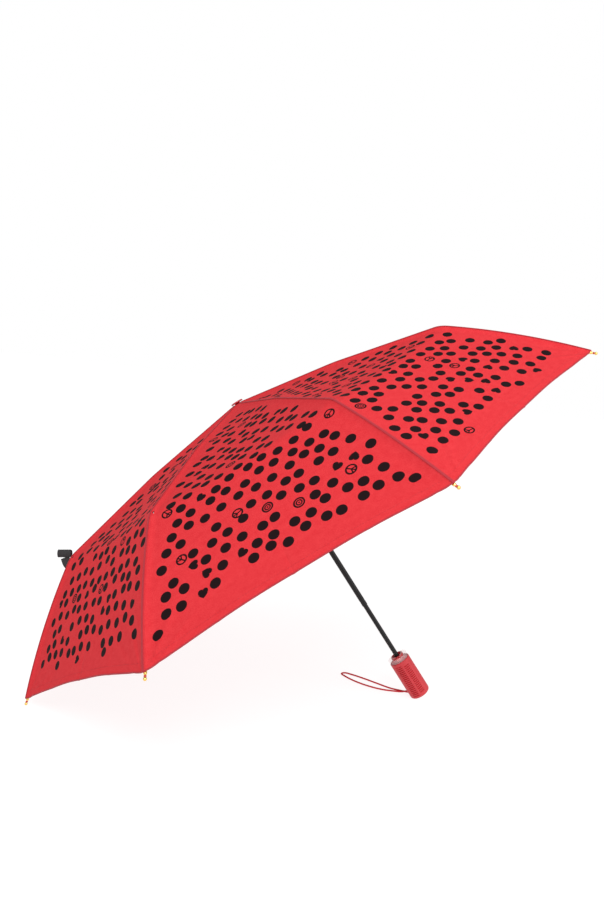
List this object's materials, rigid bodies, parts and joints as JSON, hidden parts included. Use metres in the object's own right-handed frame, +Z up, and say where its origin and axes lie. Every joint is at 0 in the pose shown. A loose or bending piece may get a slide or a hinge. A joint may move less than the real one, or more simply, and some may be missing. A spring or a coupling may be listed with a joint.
{
  "type": "compact folding umbrella",
  "caption": "Open compact automatic umbrella with a red dotted cloth canopy, folding ribs, telescoping shaft, ridged red grip and wrist loop, lying on its side.",
  "frame": {"origin": "middle of the footprint, on the floor that the two lowest rib tips and the end of the grip rest on", "axes": "+Z up, +Y across the canopy, +X from the lowest rib tips towards the handle; the shaft leans in the XZ plane"},
  "size_m": [0.7154, 0.9136, 0.5871],
  "materials": {
    "red_fabric": "fine plain-weave polyester pongee, printed in black",
    "black_metal": "satin black lacquer",
    "steel": "bright zinc-plated wire",
    "black_plastic": "moulded, matt",
    "red_rubber": "soft-touch, matt, ribbed",
    "red_gloss": "moulded, glossy",
    "button_red": "moulded, satin",
    "gold": "gold-coloured plating",
    "clear_plastic": "clear, polished",
    "red_cord": "braided round cord",
    "black_webbing": "woven tape"
  },
  "bodies": {
    "handle": {"lower_tube": "black_metal", "grip": "red_rubber", "collar": "red_gloss", "clear_rim": "clear_plastic", "button_spring": "steel", "wrist_cord": "red_cord"},
    "button": {"release_button": "button_red"},
    "middle_shaft": {"middle_tube": "black_metal"},
    "crown": {"top_tube": "black_metal", "crown_notch": "black_plastic", "crown_wire": "steel", "top_cap": "red_gloss", "canopy_quarter_1": "red_fabric", "canopy_quarter_2": "red_fabric", "canopy_quarter_3": "red_fabric", "canopy_quarter_4": "red_fabric"},
    "runner": {"runner": "black_plastic", "runner_wire": "steel"},
    "top_rib_1": {"top_rib_1": "black_metal"},
    "middle_rib_1": {"middle_rib_1": "black_metal"},
    "outer_rib_1": {"outer_rib_1": "steel", "rib_tip_1": "gold"},
    "stretcher_1": {"stretcher_1": "black_metal"},
    "top_rib_2": {"top_rib_2": "black_metal"},
    "middle_rib_2": {"middle_rib_2": "black_metal"},
    "outer_rib_2": {"outer_rib_2": "steel", "rib_tip_2": "gold"},
    "stretcher_2": {"stretcher_2": "black_metal"},
    "top_rib_3": {"top_rib_3": "black_metal"},
    "middle_rib_3": {"middle_rib_3": "black_metal"},
    "outer_rib_3": {"outer_rib_3": "steel", "rib_tip_3": "gold"},
    "stretcher_3": {"stretcher_3": "black_metal"},
    "top_rib_4": {"top_rib_4": "black_metal"},
    "middle_rib_4": {"middle_rib_4": "black_metal"},
    "outer_rib_4": {"outer_rib_4": "steel", "rib_tip_4": "gold"},
    "stretcher_4": {"stretcher_4": "black_metal"},
    "top_rib_5": {"top_rib_5": "black_metal"},
    "middle_rib_5": {"middle_rib_5": "black_metal"},
    "outer_rib_5": {"outer_rib_5": "steel", "rib_tip_5": "gold", "closing_strap": "black_webbing"},
    "stretcher_5": {"stretcher_5": "black_metal"},
    "top_rib_6": {"top_rib_6": "black_metal"},
    "middle_rib_6": {"middle_rib_6": "black_metal"},
    "outer_rib_6": {"outer_rib_6": "steel", "rib_tip_6": "gold"},
    "stretcher_6": {"stretcher_6": "black_metal"},
    "top_rib_7": {"top_rib_7": "black_metal"},
    "middle_rib_7": {"middle_rib_7": "black_metal"},
    "outer_rib_7": {"outer_rib_7": "steel", "rib_tip_7": "gold"},
    "stretcher_7": {"stretcher_7": "black_metal"},
    "top_rib_8": {"top_rib_8": "black_metal"},
    "middle_rib_8": {"middle_rib_8": "black_metal"},
    "outer_rib_8": {"outer_rib_8": "steel", "rib_tip_8": "gold"},
    "stretcher_8": {"stretcher_8": "black_metal"}
  },
  "joints": [
    {"name": "lower_slide", "type": "slide", "parent": "handle", "child": "middle_shaft", "axis": [-0.6231, 0, 0.7822], "range_m": [-0.092, 0]},
    {"name": "upper_slide", "type": "slide", "parent": "middle_shaft", "child": "crown", "axis": [-0.6231, 0, 0.7822], "range_m": [-0.178, 0]},
    {"name": "canopy_fold", "type": "slide", "parent": "crown", "child": "runner", "axis": [-0.6231, 0, 0.7822], "range_m": [-0.12966, 0], "deforming": ["canopy_quarter_1", "canopy_quarter_2", "canopy_quarter_3", "canopy_quarter_4"]},
    {"name": "top_hinge_1", "type": "hinge", "parent": "crown", "child": "top_rib_1", "pos_m": [-0.11155, 0.00402, 0.44114], "axis": [-0.2993, 0.9239, -0.2384], "range_deg": [0, 81.65]},
    {"name": "middle_hinge_1", "type": "hinge", "parent": "top_rib_1", "child": "middle_rib_1", "pos_m": [0.01761, 0.06555, 0.51744], "axis": [-0.2993, 0.9239, -0.2384], "range_deg": [-181.98, 0]},
    {"name": "outer_hinge_1", "type": "hinge", "parent": "middle_rib_1", "child": "outer_rib_1", "pos_m": [0.15716, 0.12774, 0.58321], "axis": [-0.2993, 0.9239, -0.2384], "range_deg": [0, 148.93]},
    {"name": "stretcher_hinge_1", "type": "hinge", "parent": "runner", "child": "stretcher_1", "pos_m": [-0.07629, 0.00411, 0.39722], "axis": [-0.2993, 0.9239, -0.2384], "range_deg": [-61.91, 0]},
    {"name": "top_hinge_2", "type": "hinge", "parent": "crown", "child": "top_rib_2", "pos_m": [-0.11599, 0.0097, 0.4376], "axis": [-0.7226, 0.3827, -0.5757], "range_deg": [0, 81.65]},
    {"name": "middle_hinge_2", "type": "hinge", "parent": "top_rib_2", "child": "middle_rib_2", "pos_m": [-0.0549, 0.15826, 0.45967], "axis": [-0.7226, 0.3827, -0.5757], "range_deg": [-181.98, 0]},
    {"name": "outer_hinge_2", "type": "hinge", "parent": "middle_rib_2", "child": "outer_rib_2", "pos_m": [0.01586, 0.30839, 0.47065], "axis": [-0.7226, 0.3827, -0.5757], "range_deg": [0, 148.93]},
    {"name": "stretcher_hinge_2", "type": "hinge", "parent": "runner", "child": "stretcher_2", "pos_m": [-0.08083, 0.00991, 0.39361], "axis": [-0.7226, 0.3827, -0.5757], "range_deg": [-61.91, 0]},
    {"name": "top_hinge_3", "type": "hinge", "parent": "crown", "child": "top_rib_3", "pos_m": [-0.12227, 0.0097, 0.43259], "axis": [-0.7226, -0.3827, -0.5757], "range_deg": [0, 81.65]},
    {"name": "middle_hinge_3", "type": "hinge", "parent": "top_rib_3", "child": "middle_rib_3", "pos_m": [-0.15745, 0.15826, 0.37798], "axis": [-0.7226, -0.3827, -0.5757], "range_deg": [-181.98, 0]},
    {"name": "outer_hinge_3", "type": "hinge", "parent": "middle_rib_3", "child": "outer_rib_3", "pos_m": [-0.18397, 0.30839, 0.31147], "axis": [-0.7226, -0.3827, -0.5757], "range_deg": [0, 148.93]},
    {"name": "stretcher_hinge_3", "type": "hinge", "parent": "runner", "child": "stretcher_3", "pos_m": [-0.08725, 0.00991, 0.38849], "axis": [-0.7226, -0.3827, -0.5757], "range_deg": [-61.91, 0]},
    {"name": "top_hinge_4", "type": "hinge", "parent": "crown", "child": "top_rib_4", "pos_m": [-0.12672, 0.00402, 0.42905], "axis": [-0.2993, -0.9239, -0.2384], "range_deg": [0, 81.65]},
    {"name": "middle_hinge_4", "type": "hinge", "parent": "top_rib_4", "child": "middle_rib_4", "pos_m": [-0.22996, 0.06555, 0.32022], "axis": [-0.2993, -0.9239, -0.2384], "range_deg": [-181.98, 0]},
    {"name": "outer_hinge_4", "type": "hinge", "parent": "middle_rib_4", "child": "outer_rib_4", "pos_m": [-0.32526, 0.12774, 0.19891], "axis": [-0.2993, -0.9239, -0.2384], "range_deg": [0, 148.93]},
    {"name": "stretcher_hinge_4", "type": "hinge", "parent": "runner", "child": "stretcher_4", "pos_m": [-0.0918, 0.00411, 0.38487], "axis": [-0.2993, -0.9239, -0.2384], "range_deg": [-61.91, 0]},
    {"name": "top_hinge_5", "type": "hinge", "parent": "crown", "child": "top_rib_5", "pos_m": [-0.12672, -0.00402, 0.42905], "axis": [0.2993, -0.9239, 0.2384], "range_deg": [0, 81.65]},
    {"name": "middle_hinge_5", "type": "hinge", "parent": "top_rib_5", "child": "middle_rib_5", "pos_m": [-0.22996, -0.06555, 0.32022], "axis": [0.2993, -0.9239, 0.2384], "range_deg": [-181.98, 0]},
    {"name": "outer_hinge_5", "type": "hinge", "parent": "middle_rib_5", "child": "outer_rib_5", "pos_m": [-0.32526, -0.12774, 0.19891], "axis": [0.2993, -0.9239, 0.2384], "range_deg": [0, 148.93]},
    {"name": "stretcher_hinge_5", "type": "hinge", "parent": "runner", "child": "stretcher_5", "pos_m": [-0.0918, -0.00411, 0.38487], "axis": [0.2993, -0.9239, 0.2384], "range_deg": [-61.91, 0]},
    {"name": "top_hinge_6", "type": "hinge", "parent": "crown", "child": "top_rib_6", "pos_m": [-0.12227, -0.0097, 0.43259], "axis": [0.7226, -0.3827, 0.5757], "range_deg": [0, 81.65]},
    {"name": "middle_hinge_6", "type": "hinge", "parent": "top_rib_6", "child": "middle_rib_6", "pos_m": [-0.15745, -0.15826, 0.37798], "axis": [0.7226, -0.3827, 0.5757], "range_deg": [-181.98, 0]},
    {"name": "outer_hinge_6", "type": "hinge", "parent": "middle_rib_6", "child": "outer_rib_6", "pos_m": [-0.18397, -0.30839, 0.31147], "axis": [0.7226, -0.3827, 0.5757], "range_deg": [0, 148.93]},
    {"name": "stretcher_hinge_6", "type": "hinge", "parent": "runner", "child": "stretcher_6", "pos_m": [-0.08725, -0.00991, 0.38849], "axis": [0.7226, -0.3827, 0.5757], "range_deg": [-61.91, 0]},
    {"name": "top_hinge_7", "type": "hinge", "parent": "crown", "child": "top_rib_7", "pos_m": [-0.11599, -0.0097, 0.4376], "axis": [0.7226, 0.3827, 0.5757], "range_deg": [0, 81.65]},
    {"name": "middle_hinge_7", "type": "hinge", "parent": "top_rib_7", "child": "middle_rib_7", "pos_m": [-0.0549, -0.15826, 0.45967], "axis": [0.7226, 0.3827, 0.5757], "range_deg": [-181.98, 0]},
    {"name": "outer_hinge_7", "type": "hinge", "parent": "middle_rib_7", "child": "outer_rib_7", "pos_m": [0.01586, -0.30839, 0.47065], "axis": [0.7226, 0.3827, 0.5757], "range_deg": [0, 148.93]},
    {"name": "stretcher_hinge_7", "type": "hinge", "parent": "runner", "child": "stretcher_7", "pos_m": [-0.08083, -0.00991, 0.39361], "axis": [0.7226, 0.3827, 0.5757], "range_deg": [-61.91, 0]},
    {"name": "top_hinge_8", "type": "hinge", "parent": "crown", "child": "top_rib_8", "pos_m": [-0.11155, -0.00402, 0.44114], "axis": [0.2993, 0.9239, 0.2384], "range_deg": [0, 81.65]},
    {"name": "middle_hinge_8", "type": "hinge", "parent": "top_rib_8", "child": "middle_rib_8", "pos_m": [0.01761, -0.06555, 0.51744], "axis": [0.2993, 0.9239, 0.2384], "range_deg": [-181.98, 0]},
    {"name": "outer_hinge_8", "type": "hinge", "parent": "middle_rib_8", "child": "outer_rib_8", "pos_m": [0.15716, -0.12774, 0.58321], "axis": [0.2993, 0.9239, 0.2384], "range_deg": [0, 148.93]},
    {"name": "stretcher_hinge_8", "type": "hinge", "parent": "runner", "child": "stretcher_8", "pos_m": [-0.07629, -0.00411, 0.39722], "axis": [0.2993, 0.9239, 0.2384], "range_deg": [-61.91, 0]},
    {"name": "button_press", "type": "slide", "parent": "handle", "child": "button", "axis": [0, 1, 0], "range_m": [0, 0.0012], "stiffness_N_per_m": 500, "springref_m": -0.002, "deforming": ["button_spring"]}
  ],
  "couplings": [
    {"joint": "top_hinge_1", "follows": "canopy_fold", "rad_per_m": -10.988},
    {"joint": "middle_hinge_1", "follows": "canopy_fold", "rad_per_m": 24.492},
    {"joint": "outer_hinge_1", "follows": "canopy_fold", "rad_per_m": -20.043},
    {"joint": "stretcher_hinge_1", "follows": "canopy_fold", "rad_per_m": 8.33},
    {"joint": "top_hinge_2", "follows": "canopy_fold", "rad_per_m": -10.988},
    {"joint": "middle_hinge_2", "follows": "canopy_fold", "rad_per_m": 24.492},
    {"joint": "outer_hinge_2", "follows": "canopy_fold", "rad_per_m": -20.043},
    {"joint": "stretcher_hinge_2", "follows": "canopy_fold", "rad_per_m": 8.33},
    {"joint": "top_hinge_3", "follows": "canopy_fold", "rad_per_m": -10.988},
    {"joint": "middle_hinge_3", "follows": "canopy_fold", "rad_per_m": 24.492},
    {"joint": "outer_hinge_3", "follows": "canopy_fold", "rad_per_m": -20.043},
    {"joint": "stretcher_hinge_3", "follows": "canopy_fold", "rad_per_m": 8.33},
    {"joint": "top_hinge_4", "follows": "canopy_fold", "rad_per_m": -10.988},
    {"joint": "middle_hinge_4", "follows": "canopy_fold", "rad_per_m": 24.492},
    {"joint": "outer_hinge_4", "follows": "canopy_fold", "rad_per_m": -20.043},
    {"joint": "stretcher_hinge_4", "follows": "canopy_fold", "rad_per_m": 8.33},
    {"joint": "top_hinge_5", "follows": "canopy_fold", "rad_per_m": -10.988},
    {"joint": "middle_hinge_5", "follows": "canopy_fold", "rad_per_m": 24.492},
    {"joint": "outer_hinge_5", "follows": "canopy_fold", "rad_per_m": -20.043},
    {"joint": "stretcher_hinge_5", "follows": "canopy_fold", "rad_per_m": 8.33},
    {"joint": "top_hinge_6", "follows": "canopy_fold", "rad_per_m": -10.988},
    {"joint": "middle_hinge_6", "follows": "canopy_fold", "rad_per_m": 24.492},
    {"joint": "outer_hinge_6", "follows": "canopy_fold", "rad_per_m": -20.043},
    {"joint": "stretcher_hinge_6", "follows": "canopy_fold", "rad_per_m": 8.33},
    {"joint": "top_hinge_7", "follows": "canopy_fold", "rad_per_m": -10.988},
    {"joint": "middle_hinge_7", "follows": "canopy_fold", "rad_per_m": 24.492},
    {"joint": "outer_hinge_7", "follows": "canopy_fold", "rad_per_m": -20.043},
    {"joint": "stretcher_hinge_7", "follows": "canopy_fold", "rad_per_m": 8.33},
    {"joint": "top_hinge_8", "follows": "canopy_fold", "rad_per_m": -10.988},
    {"joint": "middle_hinge_8", "follows": "canopy_fold", "rad_per_m": 24.492},
    {"joint": "outer_hinge_8", "follows": "canopy_fold", "rad_per_m": -20.043},
    {"joint": "stretcher_hinge_8", "follows": "canopy_fold", "rad_per_m": 8.33}
  ]
}
